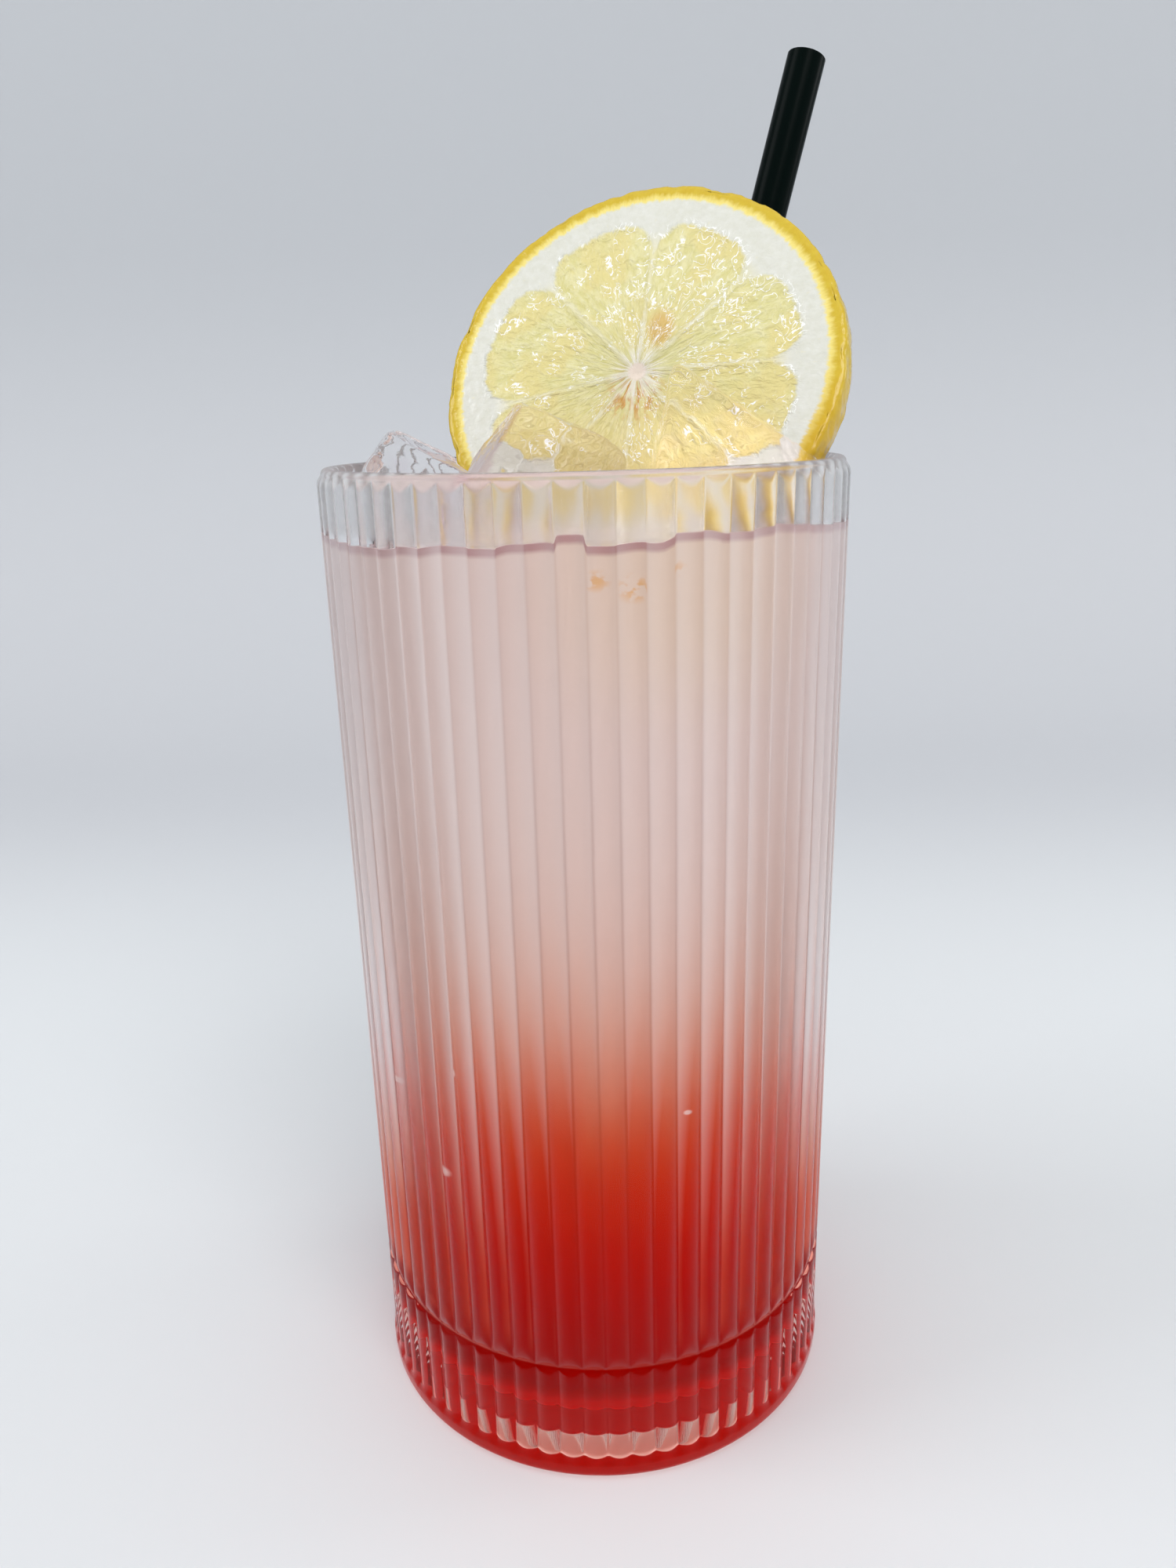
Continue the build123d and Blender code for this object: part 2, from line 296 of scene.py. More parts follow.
def build_glass():
    # points across one reed, closer together at its two cusps
    share = (np.arange(POINTS_PER_REED) + 0.5) / POINTS_PER_REED
    share = share - CUSP_CROWD * np.sin(4 * math.pi * share)
    pitch = 2 * math.pi / REEDS
    turns = (np.arange(REEDS)[:, None] * pitch + share[None, :] * pitch).ravel()
    rows = []
    # underside: punt, its slope and the ring it stands on
    for r in (9.0, 18.0, PUNT_R - 2.0, PUNT_R - 0.6):
        rows.append((r, PUNT_DEPTH))
    for s in (0.02, 0.1, 0.3, 0.5, 0.7, 0.9, 0.98):
        rows.append((PUNT_R + (RING_IN - PUNT_R) * s, PUNT_DEPTH * (1 - s)))
    for r in (RING_IN + 0.3, 33.0, 34.8):
        rows.append((r, 0.0))
    for a in np.linspace(-90, 0, 7) * DEG:
        r = FOOT_R - FOOT_EDGE_R + FOOT_EDGE_R * math.cos(a)
        rows.append((r, FOOT_EDGE_R + FOOT_EDGE_R * math.sin(a)))
    rows.append((FOOT_R, 1.8))
    rows.append((FOOT_R, 2.3))
    # the band hands over to the reeds
    for z, s in (
        (2.5, 0.04), (2.7, 0.16), (2.95, 0.38), (3.2, 0.62), (3.5, 0.84), (3.8, 0.96), (4.1, 1.0)
    ):
        rows.append((FOOT_R * (1 - s) + reed_radius(turns, z) * s, z))
    for z in (4.6, 8.0, 13.0, 18.2, 18.6):
        rows.append((reed_radius(turns, z), z))
    # ledge, groove and rounded shoulder
    top = GROOVE_Z + GROOVE_ROOT + SHOULDER_H
    shoulder_r = crest_at(top) + 0.02
    root_r = shoulder_r - GROOVE_DEPTH
    for z, cut in ((18.85, 0.03), (19.0, 0.10), (19.12, 0.22), (19.22, 0.38), (19.3, 0.54)):
        rows.append((soft_min(reed_radius(turns, z), crest_at(z) - cut, 0.1), z))
    for z in (19.36, 19.46, 19.6):
        rows.append((np.full_like(turns, root_r), z))
    for s in (0.04, 0.1, 0.18, 0.28, 0.4, 0.55, 0.7, 0.85, 1.0):
        z = GROOVE_Z + GROOVE_ROOT + SHOULDER_H * s
        env = shoulder_r - GROOVE_DEPTH * (1 - s) ** 2
        rows.append((soft_min(reed_radius(turns, z), env, 0.08), z))
    for z in (24.0, 55.0, 98.0, 140.0, GLASS_H - LIP_START):
        rows.append((reed_radius(turns, z), z))
    lip_c = GLASS_H - LIP_R
    lip_out = inner_at(lip_c) + 2 * LIP_R
    for s in (0.15, 0.35, 0.55, 0.75, 0.9):
        z = GLASS_H - LIP_START + (LIP_START - LIP_R) * s
        env = crest_at(z) + 0.02 - (crest_at(z) + 0.02 - lip_out) * s**1.6
        rows.append((soft_min(reed_radius(turns, z), env, 0.1), z))
    # over the rounded lip, where the reeds fade out
    for a in np.linspace(0, 180, 13):
        r = inner_at(lip_c) + LIP_R + LIP_R * math.cos(a * DEG)
        z = lip_c + LIP_R * math.sin(a * DEG)
        fade = max(0.0, 1 - a / 60.0) * 0.5
        reed = soft_min(reed_radius(turns, z), lip_out, 0.1)
        rows.append((r * (1 - fade) + np.minimum(reed, r) * fade, z))
    # dry wall, wetted wall, corner and floor
    for z in (142.0, 138.5, 136.8, 98.0, 58.0, 22.0):
        rows.append((inner_at(z), z))
    corner_top = FLOOR_Z + CORNER_R
    wall = inner_at(corner_top)
    for a in np.linspace(0, 90, 11) * DEG:
        r = wall - CORNER_R + CORNER_R * math.cos(a)
        rows.append((r, corner_top - CORNER_R * math.sin(a)))
    rows.append((12.0, FLOOR_Z))
    ob = lathe("tumbler", rows, turns, glass_material(), PUNT_DEPTH, FLOOR_Z)
    # how near each point of the outside is to a cusp between two reeds, for the painted shade
    # along the cusps
    co = np.array([v.co[:] for v in ob.data.vertices]) / MM
    turn = np.arctan2(co[:, 0], -co[:, 1])
    gap = np.abs((turn / pitch + 0.5) % 1.0 - 0.5) * pitch * CUSP_R
    cusp_shade = np.exp(-((gap / CUSP_SHADE_WIDTH) ** 2))
    cusp_shade[np.hypot(co[:, 0], co[:, 1]) < CREST_LOW - REED_DEPTH - 0.35] = 0.0
    cusp_shade[(co[:, 2] < FOOT_BAND) | (co[:, 2] > FILL_Z)] = 0.0
    put_values(ob.data, "cusp", cusp_shade)
    return ob


# ------------------------------------------------------------------ the drink
# the drink's colour follows from how much syrup there is at each height, with painted shade
# towards the foot
PALE_DRINK = (201, 183, 176)
SYRUP_TAKES = (0.075, 1.0, 1.43)  # how strongly the syrup takes up red, green and blue
SYRUP_MOST = 6.3
MIX_Z, MIX_W = 48.5, 12.2  # height at which half the syrup is left, and width of the change
FOOT_SHADE, SHADE_Z = 0.66, 50.0  # share of the light at the foot, and where all of it comes
WALL_R = 34.6


def on_wall(degrees, z):
    """Place on the wall of the drink, in metres, at a turn from the front and a height."""
    turn = degrees * DEG
    return (WALL_R * MM * math.sin(turn), -WALL_R * MM * math.cos(turn), z * MM)


def drink_colour(n, gain):
    """Base colour of the drink by height, streaky where the two layers meet, with painted shade
    towards the foot.
    """
    pos = n.add("TexCoord").outputs["Object"]
    xyz = n.add("SeparateXYZ", {0: pos})
    tall = n.vmath("MULTIPLY", pos, (1.0, 1.0, 0.12))
    streak = n.noise(tall, 190.0, 3.0, 0.6)
    broad = n.noise(tall, 45.0, 2.0, 0.5)
    z = n.math("DIVIDE", xyz.outputs["Z"], MM)
    amount = n.span(z, 30.0, 66.0)
    fade = n.span(z, 125.0, 78.0)
    shift = n.math("SUBTRACT", n.math("ADD", n.math("MULTIPLY", streak, 9.0),
                                      n.math("MULTIPLY", broad, 13.0)), 11.0)
    shift = n.math("MULTIPLY", shift, n.math("MULTIPLY", amount, fade))
    z = n.math("ADD", z, shift)
    spread = n.math("EXPONENT", n.math("DIVIDE", n.math("SUBTRACT", z, MIX_Z), MIX_W))
    syrup = n.math("DIVIDE", SYRUP_MOST, n.math("ADD", spread, 1.0))
    # painted shade: the drink grows darker towards the foot
    shade = n.span(z, 0.0, SHADE_Z, FOOT_SHADE, 1.0)
    channels = {}
    for i, (pale, takes, more) in enumerate(zip(lin(*PALE_DRINK), SYRUP_TAKES, gain)):
        left = n.math("EXPONENT", n.math("MULTIPLY", syrup, -takes))
        channels[i] = n.math("MULTIPLY", n.math("MULTIPLY", left, pale * more), shade)
    return n.add("CombineColor", channels).outputs[0], pos, xyz.outputs["Z"]


# on the wall of the drink: turn from the front in degrees, height and size in mm
BUBBLE_GLINTS = ((-39, 48.0, 1.1), (-34, 65.0, 0.8), (20, 60.5, 0.5), (-55, 59.0, 0.7))
SHREDS = ((2, 133.5, 1.7), (9, 132.5, 2.2), (18, 134.5, 1.4))


def drink_wall_material():
    n = Nodes("drink_at_wall")
    colour, pos, z = drink_colour(n, (1.22, 1.14, 1.14))
    # painted light: a yellow patch where the lemon that stands in the drink shows through it
    painted_lemon_light = n.spot(pos, (0.012, -0.030, 0.134), 0.026, 0.004)
    colour = n.mix(n.math("MULTIPLY", painted_lemon_light, 0.22), colour, lin(232, 200, 130))
    # painted glints of bubbles held at the wall, and shreds of peel that float under the surface
    for degrees, height, size in BUBBLE_GLINTS:
        bit = n.spot(pos, on_wall(degrees, height), size * MM, size * 0.4 * MM)
        colour = n.mix(n.math("MULTIPLY", bit, 0.6), colour, lin(248, 226, 220))
    shred = n.noise(pos, 900.0, 2.0)
    for degrees, height, size in SHREDS:
        bit = n.spot(pos, on_wall(degrees, height), size * MM, size * 0.3 * MM)
        bit = n.math("MULTIPLY", bit, n.span(shred, 0.42, 0.56))
        colour = n.mix(n.math("MULTIPLY", bit, 0.75), colour, lin(222, 160, 84))
    # painted shade: the darker line where the drink meets the wall at its level
    brim_shade = n.attribute("brim_shade")
    colour = n.mix(n.math("MULTIPLY", brim_shade, 0.85), colour, lin(172, 122, 124))
    # below the groove the syrup is lit through the thick foot
    parts = n.add("SeparateColor", {0: colour})
    glow = n.add("CombineColor", {i: n.math("POWER", parts.outputs[i], 0.75) for i in range(3)})
    low = n.span(z, 0.018, 0.011)
    glow = n.mix(low, glow, (1.0, 0.06, 0.03))
    through = n.math("MULTIPLY", low, 0.9)
    base = n.add(
        "MixShader",
        {
            0: through,
            1: n.add("BsdfDiffuse", {"Color": colour}),
            2: n.add("BsdfTranslucent", {"Color": glow}),
        },
    )
    # the wetted wall mirrors the bright room, more so towards grazing and where it is pale
    facing = n.add("LayerWeight", {"Blend": 0.5}).outputs["Facing"]
    pale = n.span(z, 0.055, 0.100)
    # seen from a usual height the lower wall always lies a little oblique
    start = n.span(z, 0.030, 0.090, 0.17, 0.04)
    steep = n.math("DIVIDE", n.math("SUBTRACT", facing, start), 0.34)
    steep = n.math("MAXIMUM", steep, 0.0)
    gentle = n.math("MULTIPLY", n.math("POWER", facing, 0.5), 0.9)
    weight = n.math(
        "ADD",
        n.math("MULTIPLY", steep, n.math("SUBTRACT", 1.0, pale)),
        n.math("MULTIPLY", gentle, pale),
    )
    weight = n.math("MULTIPLY", n.math("MINIMUM", weight, 0.9), n.span(z, 0.019, 0.025))
    sheen = n.mix(n.span(z, 0.031, 0.068), (1.0, 0.45, 0.30), (0.98, 0.94, 0.94))
    veil = n.add("BsdfGlossy", {"Color": sheen, "Roughness": 0.3})
    base = n.add("MixShader", {0: weight, 1: base, 2: veil})
    # painted glow: the syrup below the groove gives off a little red light of its own
    painted_glow = n.add(
        "Emission", {"Color": (1.0, 0.03, 0.02), "Strength": n.math("MULTIPLY", low, 0.16)}
    )
    return n.finish(n.add("AddShader", {0: base, 1: painted_glow}))


def drink_surface_material():
    n = Nodes("drink_surface")
    colour, pos, _ = drink_colour(n, (1.14, 1.16, 1.20))
    # painted shade: the same darker line along the edge of the surface
    colour = n.mix(n.math("MULTIPLY", n.attribute("brim_shade"), 0.7), colour, lin(176, 128, 130))
    ripple = n.noise(pos, 160.0, 2.0)
    wet = n.add(
        "BsdfPrincipled",
        {
            "Base Color": colour,
            "Roughness": 0.04,
            "IOR": WATER_IOR,
            "Normal": n.bump(ripple, 0.35, 0.0008),
        },
    )
    deep = n.add("BsdfTranslucent", {"Color": (0.98, 0.92, 0.9)})
    return n.finish(n.add("MixShader", {0: 0.1, 1: wet, 2: deep}))


# raised stretches of the level, as reeds show them: degrees round, rise and half width
LEVEL_STEPS = ((357.2, 1.5, 2.7), (349, 0.6, 5.0), (21, 0.9, 5.5), (332, 0.4, 5.0))


def build_drink():
    """Both layers of the drink as one solid, a hair wider than the inside of the glass."""
    count = DRINK_POINTS
    turns = np.arange(count) * 2 * math.pi / count
    rows = [(10.0, FLOOR_Z - WET)]
    corner_top = FLOOR_Z + CORNER_R
    wall = inner_at(corner_top)
    reach = CORNER_R + WET
    for a in np.linspace(90, 0, 13) * DEG:
        rows.append((wall - CORNER_R + reach * math.cos(a), corner_top - reach * math.sin(a)))
    for z in (24.0, 40.0, 60.0, 80.0, 100.0, 115.0, 127.0, 133.0, 135.4):
        rows.append((inner_at(z) + WET, z))
    # the drink climbs the wall a little, more beside the ice
    climb = 0.45 + 0.12 * np.sin(3 * turns + 0.6) + 0.08 * np.sin(7 * turns)
    right = np.exp(-(((turns - 42 * DEG) / (16 * DEG)) ** 2))
    left = np.exp(-(((turns - 310 * DEG) / 0.3) ** 2))
    level = FILL_Z + 1.2 * right - 0.5 * left
    for degrees, tall, wide in LEVEL_STEPS:
        apart = (np.degrees(turns) - degrees + 180) % 360 - 180
        level = level + tall * np.exp(-((apart / wide) ** 6))
    level = level + 0.5 * noise3(np.stack([turns * 9, turns * 0, turns * 0], 1))
    first_brim = len(rows)
    for below in (1.3, 0.75, 0.08, 0.0):
        rows.append((inner_at(FILL_Z) + WET, level + climb - below))
    side_rows = len(rows)
    # the surface, level again a few millimetres in from the wall
    for s in (0.25, 0.6, 1.1, 1.8, 2.8, 4.2, 7.0, 11.0, 16.0, 22.0, 28.0):
        wave = 0.08 * np.sin(5 * turns + s) * min(1.0, s / 3)
        lift = (level - FILL_Z) * math.exp(-s / 2) + climb * math.exp(-s / 0.9)
        rows.append((inner_at(FILL_Z) - s, FILL_Z + lift + wave))
    materials = [drink_wall_material(), drink_surface_material()]
    ob = lathe("drink", rows, turns, materials, FLOOR_Z - WET, FILL_Z)
    # the rows at the level that carry the painted shade line
    brim_shade = np.zeros(len(ob.data.vertices))
    brim_shade[(first_brim + 1) * count : (side_rows + 2) * count] = 1.0
    put_values(ob.data, "brim_shade", brim_shade)
    surface_from = (side_rows - 1) * count
    for p in ob.data.polygons:
        if min(p.vertices) >= surface_from and p.center.z > 0.1:
            p.material_index = 1
    return ob


# ------------------------------------------------------------------ lemon wheel
def wheel_matrix():
    turn, lean = LEMON_TURN * DEG, LEMON_LEAN * DEG
    out = Vector(
        (math.sin(turn) * math.cos(lean), -math.cos(turn) * math.cos(lean), math.sin(lean))
    )
    right = Vector((math.cos(turn), math.sin(turn), 0.0))
    up = out.cross(right)
    m = Matrix((right, up, out)).transposed().to_4x4()
    m.translation = Vector(LEMON_C) * MM
    return m


def wheel_fields(x, y):
    """Radius, and depth inside a segment's flesh, for points on a cut face."""
    r = np.hypot(x, y)
    angle = np.degrees(np.arctan2(y, x)) % 360
    outer = LEMON_R - PITH_W + 0.45 * np.sin(np.radians(angle * 2 + 160)) + 0.25 * np.sin(
        np.radians(angle * 5)
    )
    side = np.full_like(r, 1e9)
    for a in MEMBRANES:
        d = np.radians((angle - a + 180) % 360 - 180)
        gap = np.where(np.abs(d) < math.pi / 2, r * np.abs(np.sin(d)), r)
        side = np.minimum(side, gap)
    side = side - 0.2
    rim = outer - r
    corner = 5.2  # how round the outer corners of a segment are
    q, p = np.maximum(corner - side, 0), np.maximum(corner - rim, 0)
    both = (q > 0) & (p > 0)
    depth = np.where(both, corner - np.hypot(q, p), np.minimum(side, rim))
    depth = np.minimum(depth, r - CORE_R + 0.4)
    return r, depth


def build_lemon(material):
    around = LEMON_POINTS
    th = np.arange(around) * 2 * math.pi / around
    radii = np.concatenate(
        [np.linspace(0.6, 23.0, 62), np.linspace(23.3, LEMON_R - LEMON_EDGE_R, 22)]
    )
    # both cut faces: sunken flesh with juice sacs, uneven pith and a hollow core
    verts = []
    for sign in (1, -1):
        for r in radii:
            x, y = r * np.cos(th), r * np.sin(th)
            depth = wheel_fields(x, y)[1]
            h = np.full(around, LEMON_T / 2)
            flesh = np.clip(depth / 0.5, 0, 1)
            level = np.full(around, r * 0.22 + 7 * sign)
            sac = noise3(np.stack([np.cos(th) * 9, np.sin(th) * 9, level], 1))
            fine = noise3(np.stack([x * 0.9, y * 0.9, np.full(around, 5.0 * sign)], 1))
            h = h - flesh * (0.2 - 0.28 * sac * np.clip(depth / 2.0, 0, 1))
            h = h - 0.25 * np.clip(depth / 4.0, 0, 1)
            h = h + (1 - flesh) * 0.08 * fine
            h = h - 0.5 * np.exp(-((r / 1.1) ** 2))
            verts.append(np.stack([x, y, sign * h], 1))
    # rind: a rounded, dimpled and slightly notched side
    side = []
    edge_r, edge_z = LEMON_R - LEMON_EDGE_R, LEMON_T / 2 - LEMON_EDGE_R
    for a in np.linspace(80, -80, 17):
        if abs(a) > 45:
            r = edge_r + LEMON_EDGE_R * math.cos(abs(a) * DEG)
            z = (edge_z + LEMON_EDGE_R * math.sin(abs(a) * DEG)) * np.sign(a)
        else:
            r = edge_r + LEMON_EDGE_R * math.cos(45 * DEG) + 0.32 * (1 - abs(a) / 45)
            z = (edge_z + LEMON_EDGE_R * SIN_45) * a / 45
        up = np.full(around, float(z))
        bump = 0.55 * noise3(np.stack([np.cos(th) * 9, np.sin(th) * 9, up * 0.3], 1))
        bump += 0.30 * noise3(np.stack([np.cos(th) * 24, np.sin(th) * 24, up * 0.8], 1))
        rim = r - 0.12 + np.minimum(bump, 0.12)
        side.append(np.stack([rim * np.cos(th), rim * np.sin(th), up], 1))
    front, back = verts[: len(radii)], verts[len(radii) :]
    rows = front + side + back[::-1]
    pts = np.concatenate(rows)
    pts = np.concatenate([pts, [pts[:around].mean(0), pts[-around:].mean(0)]])
    middle, last = len(pts) - 2, (len(rows) - 1) * around
    faces = [list(f) for f in grid_faces(len(rows), around)]
    faces += [[middle, (i + 1) % around, i] for i in range(around)]
    faces += [[middle + 1, last + i, last + (i + 1) % around] for i in range(around)]
    faces = [f[::-1] for f in faces]
    m = np.array(wheel_matrix())
    world = (pts * MM) @ m[:3, :3].T + m[:3, 3]
    ob = new_mesh("lemon_slice", world, faces, material)
    r, depth = wheel_fields(pts[:, 0], pts[:, 1])
    depth[-2:] = -2.0  # the two middle points are core
    face_side = np.clip((np.abs(pts[:, 2]) - 1.9) / 0.5, 0, 1)
    zest = np.clip((r - (LEMON_R - 3.3)) / 2.4, 0, 1)
    zest = np.maximum(zest, np.where(r > LEMON_R - 2.5, 1 - face_side, 0))
    put_values(ob.data, "depth", depth)
    put_values(ob.data, "zest", zest)
    at = ob.data.attributes.new("wheel", "FLOAT_VECTOR", "POINT")
    at.data.foreach_set("vector", pts.astype(np.float32).ravel())
    return ob


def lemon_material():
    n = Nodes("lemon_wet")
    depth = n.attribute("depth")
    zest = n.attribute("zest")
    wheel = n.add("Attribute", attribute_name="wheel").outputs["Vector"]
    flat = n.vmath("MULTIPLY", wheel, (1, 1, 0))
    radius = n.vmath("LENGTH", flat)
    unit = n.add("SeparateXYZ", {0: n.vmath("NORMALIZE", flat)})
    xyz = n.add("SeparateXYZ", {0: wheel})

    def polar(turn, along):
        """Place for noise that is stretched along the radius."""
        return n.add(
            "CombineXYZ",
            {
                0: n.math("MULTIPLY", unit.outputs[0], turn),
                1: n.math("MULTIPLY", unit.outputs[1], turn),
                2: n.math("MULTIPLY", radius, along),
            },
        )

    sac = n.noise(polar(9.0, 0.22), 2.2, 3.0, 0.6, 0.4)
    cloud = n.noise(wheel, 0.16, 2.0)
    # translucent flesh: pale, a little greener or warmer from place to place
    flesh = n.mix(n.span(sac, 0.30, 0.72), lin(214, 206, 138), lin(230, 223, 172))
    flesh = n.mix(n.span(cloud, 0.45, 0.62), flesh, lin(224, 211, 144))
    warm = n.math("MULTIPLY", n.span(xyz.outputs["Y"], 1.0, -16.0), 0.5)
    flesh = n.mix(warm, flesh, lin(224, 196, 122))
    # amber spots under the core and a seed that shines through above it
    amber = n.spot(flat, (0.0, -3.4, 0.0), 5.6, 1.5)
    spots = n.span(n.noise(polar(3.0, 0.25), 2.6, 2.0), 0.45, 0.58)
    amber = n.math("MULTIPLY", amber, n.math("MULTIPLY", spots, 0.9))
    flesh = n.mix(amber, flesh, lin(206, 146, 60))
    squeezed = n.vmath("MULTIPLY", n.vmath("SUBTRACT", flat, (2.5, 6.6, 0.0)), (0.8, 0.55, 0.0))
    seed = n.span(n.vmath("LENGTH", squeezed), 2.0, 0.8)
    flesh = n.mix(n.math("MULTIPLY", seed, 0.75), flesh, lin(214, 172, 92))
    # pith: white at the rind, thin and yellowish between the segments
    pith = n.mix(n.noise(wheel, 0.9, 4.0, 0.6), lin(231, 231, 225), lin(208, 207, 190))
    thin = n.mix(n.noise(wheel, 1.4, 3.0), lin(228, 220, 180), lin(246, 242, 224))
    veiny = n.span(n.noise(wheel, 0.5, 2.0), 0.35, 0.65, 0.25, 0.8)
    pith = n.mix(n.span(radius, 22.0, 17.5), pith, n.mix(veiny, flesh, thin))
    edge = n.math("ADD", depth, n.math("MULTIPLY", n.math("SUBTRACT", sac, 0.5), 1.5))
    colour = n.mix(n.span(edge, -0.25, 0.35), pith, flesh)
    # core: a small pinkish button with short pale spokes
    ray = n.noise(polar(2.0, 0.0), 3.4, 2.0, 0.5)
    spoke = n.math("MULTIPLY", n.span(ray, 0.47, 0.56), n.span(radius, 5.0, 2.2))
    colour = n.mix(n.math("MULTIPLY", spoke, 0.8), colour, lin(252, 246, 232))
    colour = n.mix(n.span(radius, 1.6, 1.1), colour, lin(240, 224, 208))
    # painted wet glints: short wavy strokes, most of them towards the upper right
    fleck = n.noise(polar(4.2, 0.20), 2.6, 2.0, 0.5, 1.2)
    stroke = n.span(n.math("ABSOLUTE", n.math("SUBTRACT", fleck, 0.5), 0.0), 0.026, 0.010)
    place = n.noise(wheel, 0.30, 2.0)
    favour = n.span(n.vmath("DISTANCE", flat, (9.0, 12.0, 0.0)), 24.0, 4.0, 0.0, 0.14)
    glint = n.math("MULTIPLY", stroke, n.span(n.math("ADD", place, favour), 0.54, 0.60))
    glint = n.math("MULTIPLY", glint, n.span(depth, -1.2, -0.2))
    colour = n.mix(n.math("MULTIPLY", glint, 0.95), colour, (1.0, 1.0, 0.98))
    # zest: knobbly yellow ring, paler where it meets the pith
    pore = n.noise(polar(16.0, 0.25), 2.6, 2.0, 0.6)
    ring = n.math("ADD", zest, n.math("MULTIPLY", n.math("SUBTRACT", pore, 0.5), 0.55))
    peel = n.mix(n.noise(wheel, 1.1, 3.0), lin(215, 190, 60), lin(201, 165, 34))
    peel = n.mix(n.span(ring, 0.30, 0.75), lin(240, 222, 128), peel)
    deep = n.math(
        "MULTIPLY", n.span(xyz.outputs["X"], 12.0, 28.0), n.span(xyz.outputs["Y"], 4.0, -14.0)
    )
    peel = n.mix(n.math("MULTIPLY", deep, 0.6), peel, lin(206, 158, 20))
    colour = n.mix(n.span(ring, 0.08, 0.36), colour, peel)
    # painted shade: the part that stands in the glass is darker and a little duller
    painted_shade_in_glass = n.span(xyz.outputs["Y"], -10.0, -18.0, 0.0, 0.9)
    colour = n.mix(painted_shade_in_glass, colour, (0.76, 0.72, 0.70), "MULTIPLY")
    relief = n.math("ADD", n.math("MULTIPLY", sac, 1.2), n.math("MULTIPLY", fleck, 1.4))
    relief = n.math("MULTIPLY", relief, n.span(edge, -0.6, 0.6, 0.22, 1.0))
    p = n.add(
        "BsdfPrincipled",
        {
            "Base Color": colour,
            "Roughness": 0.16,
            "IOR": 1.42,
            "Normal": n.bump(relief, 0.5, 0.0007),
        },
    )
    return n.finish(p)


# ------------------------------------------------------------------ straw and ice
def straw_material():
    n = Nodes("black_straw")
    pos = n.add("TexCoord").outputs["Object"]
    tone = n.mix(n.noise(pos, 60.0, 2.0), (0.0010, 0.0034, 0.0030), (0.0016, 0.0046, 0.0040))
    return n.finish(
        n.add(
            "BsdfPrincipled",
            {"Base Color": tone, "Roughness": 0.25, "IOR": 1.45, "Specular IOR Level": 0.03},
        )
    )


def ice_material():
    n = Nodes("clear_ice")
    pos = n.add("TexCoord").outputs["Object"]
    wave = n.noise(pos, 170.0, 3.0, 0.55, 0.6)
    # painted reflection: pink patches at random, and the facets turned towards the drink, carry
    # the drink's colour
    patch = n.span(n.noise(pos, 95.0, 1.0), 0.54, 0.62, 0.0, 0.3)
    tone = n.mix(patch, (1.0, 0.99, 0.99), (0.90, 0.80, 0.85))
    tone = n.mix(n.attribute("painted_drink_pink"), tone, (0.76, 0.60, 0.69))
    return n.finish(
        n.lit_through(
            n.add(
                "BsdfPrincipled",
                {
                    "Base Color": tone,
                    "Roughness": 0.02,
                    "IOR": ICE_IOR,
                    "Transmission Weight": 1.0,
                    "Normal": n.bump(wave, 0.16, 0.0008),
                },
            )
        )
    )


def build_ice(node, name, material, seed, amount, pink_side):
    """A melting lump of the node's own form: finely meshed, rounded and uneven."""
    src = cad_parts[node]
    tmp = bpy.data.objects.new(name + ".tmp", src.data.copy())
    bpy.context.scene.collection.objects.link(tmp)
    mod = tmp.modifiers.new("remesh", "REMESH")
    mod.mode = "VOXEL"
    mod.voxel_size = ICE_VOXEL * MM
    mod.use_smooth_shade = True
    melt = tmp.modifiers.new("smooth", "SMOOTH")
    melt.factor = 0.5
    melt.iterations = 7
    graph = bpy.context.evaluated_depsgraph_get()
    me = bpy.data.meshes.new_from_object(tmp.evaluated_get(graph))
    bpy.data.objects.remove(tmp)
    me.name = name
    lo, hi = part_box(node)
    count = len(me.vertices)
    co, no = np.zeros(count * 3), np.zeros(count * 3)
    me.vertices.foreach_get("co", co)
    me.vertex_normals.foreach_get("vector", no)
    co, no = co.reshape(-1, 3), no.reshape(-1, 3)
    q = co / MM
    d = noise3(q * 0.16 + [seed, 0, 0]) + 0.5 * noise3(q * 0.42 + [0, seed, 0])
    d += 0.22 * noise3(q * 1.1)
    co = np.clip(co + no * ((d * amount - 0.25) * MM)[:, None], list(lo), list(hi))
    me.vertices.foreach_set("co", co.ravel())
    me.update()
    # painted reflection: the side of the lump that picks up the pink of the drink
    toward = np.array(pink_side) / np.linalg.norm(pink_side)
    painted_drink_pink = np.clip((no @ toward - 0.48) / 0.12, 0, 1)
    if node != "ice_front":
        painted_drink_pink *= np.clip(noise3(q * 0.22 + [seed, 5, 0]) * 6, 0, 1) * 0.35
    put_values(me, "painted_drink_pink", painted_drink_pink)
    me.polygons.foreach_set("use_smooth", [True] * len(me.polygons))
    me.materials.clear()
    me.materials.append(material)
    ob = bpy.data.objects.new(name, me)
    bpy.context.scene.collection.objects.link(ob)
    return ob


# ------------------------------------------------------------------ build
tumbler = build_glass()
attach(tumbler, "root")
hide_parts("glass")

drink = build_drink()
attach(drink, "root")
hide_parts("syrup", "lemonade")

lemon = build_lemon(lemon_material())
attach(lemon, "root")
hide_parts("lemon_wheel")

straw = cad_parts["straw"]
straw.data.materials.clear()
straw.data.materials.append(straw_material())

ice_look = ice_material()
for node, seed, amount, pink_side in (
    ("ice_left", 3.0, 0.5, (1.0, -0.6, 0.2)),
    ("ice_front", 11.0, 0.6, (-1.0, -0.5, 0.3)),
    ("ice_right", 23.0, 0.7, (0.2, -0.5, 0.9)),
):
    lump = build_ice(node, node.replace("ice", "lump"), ice_look, seed, amount, pink_side)
    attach(lump, "root")
    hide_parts(node)


# ------------------------------------------------------------------ stage
TABLE_Z = -0.0002
CURVE_Y, CURVE_R = 0.35, 0.25


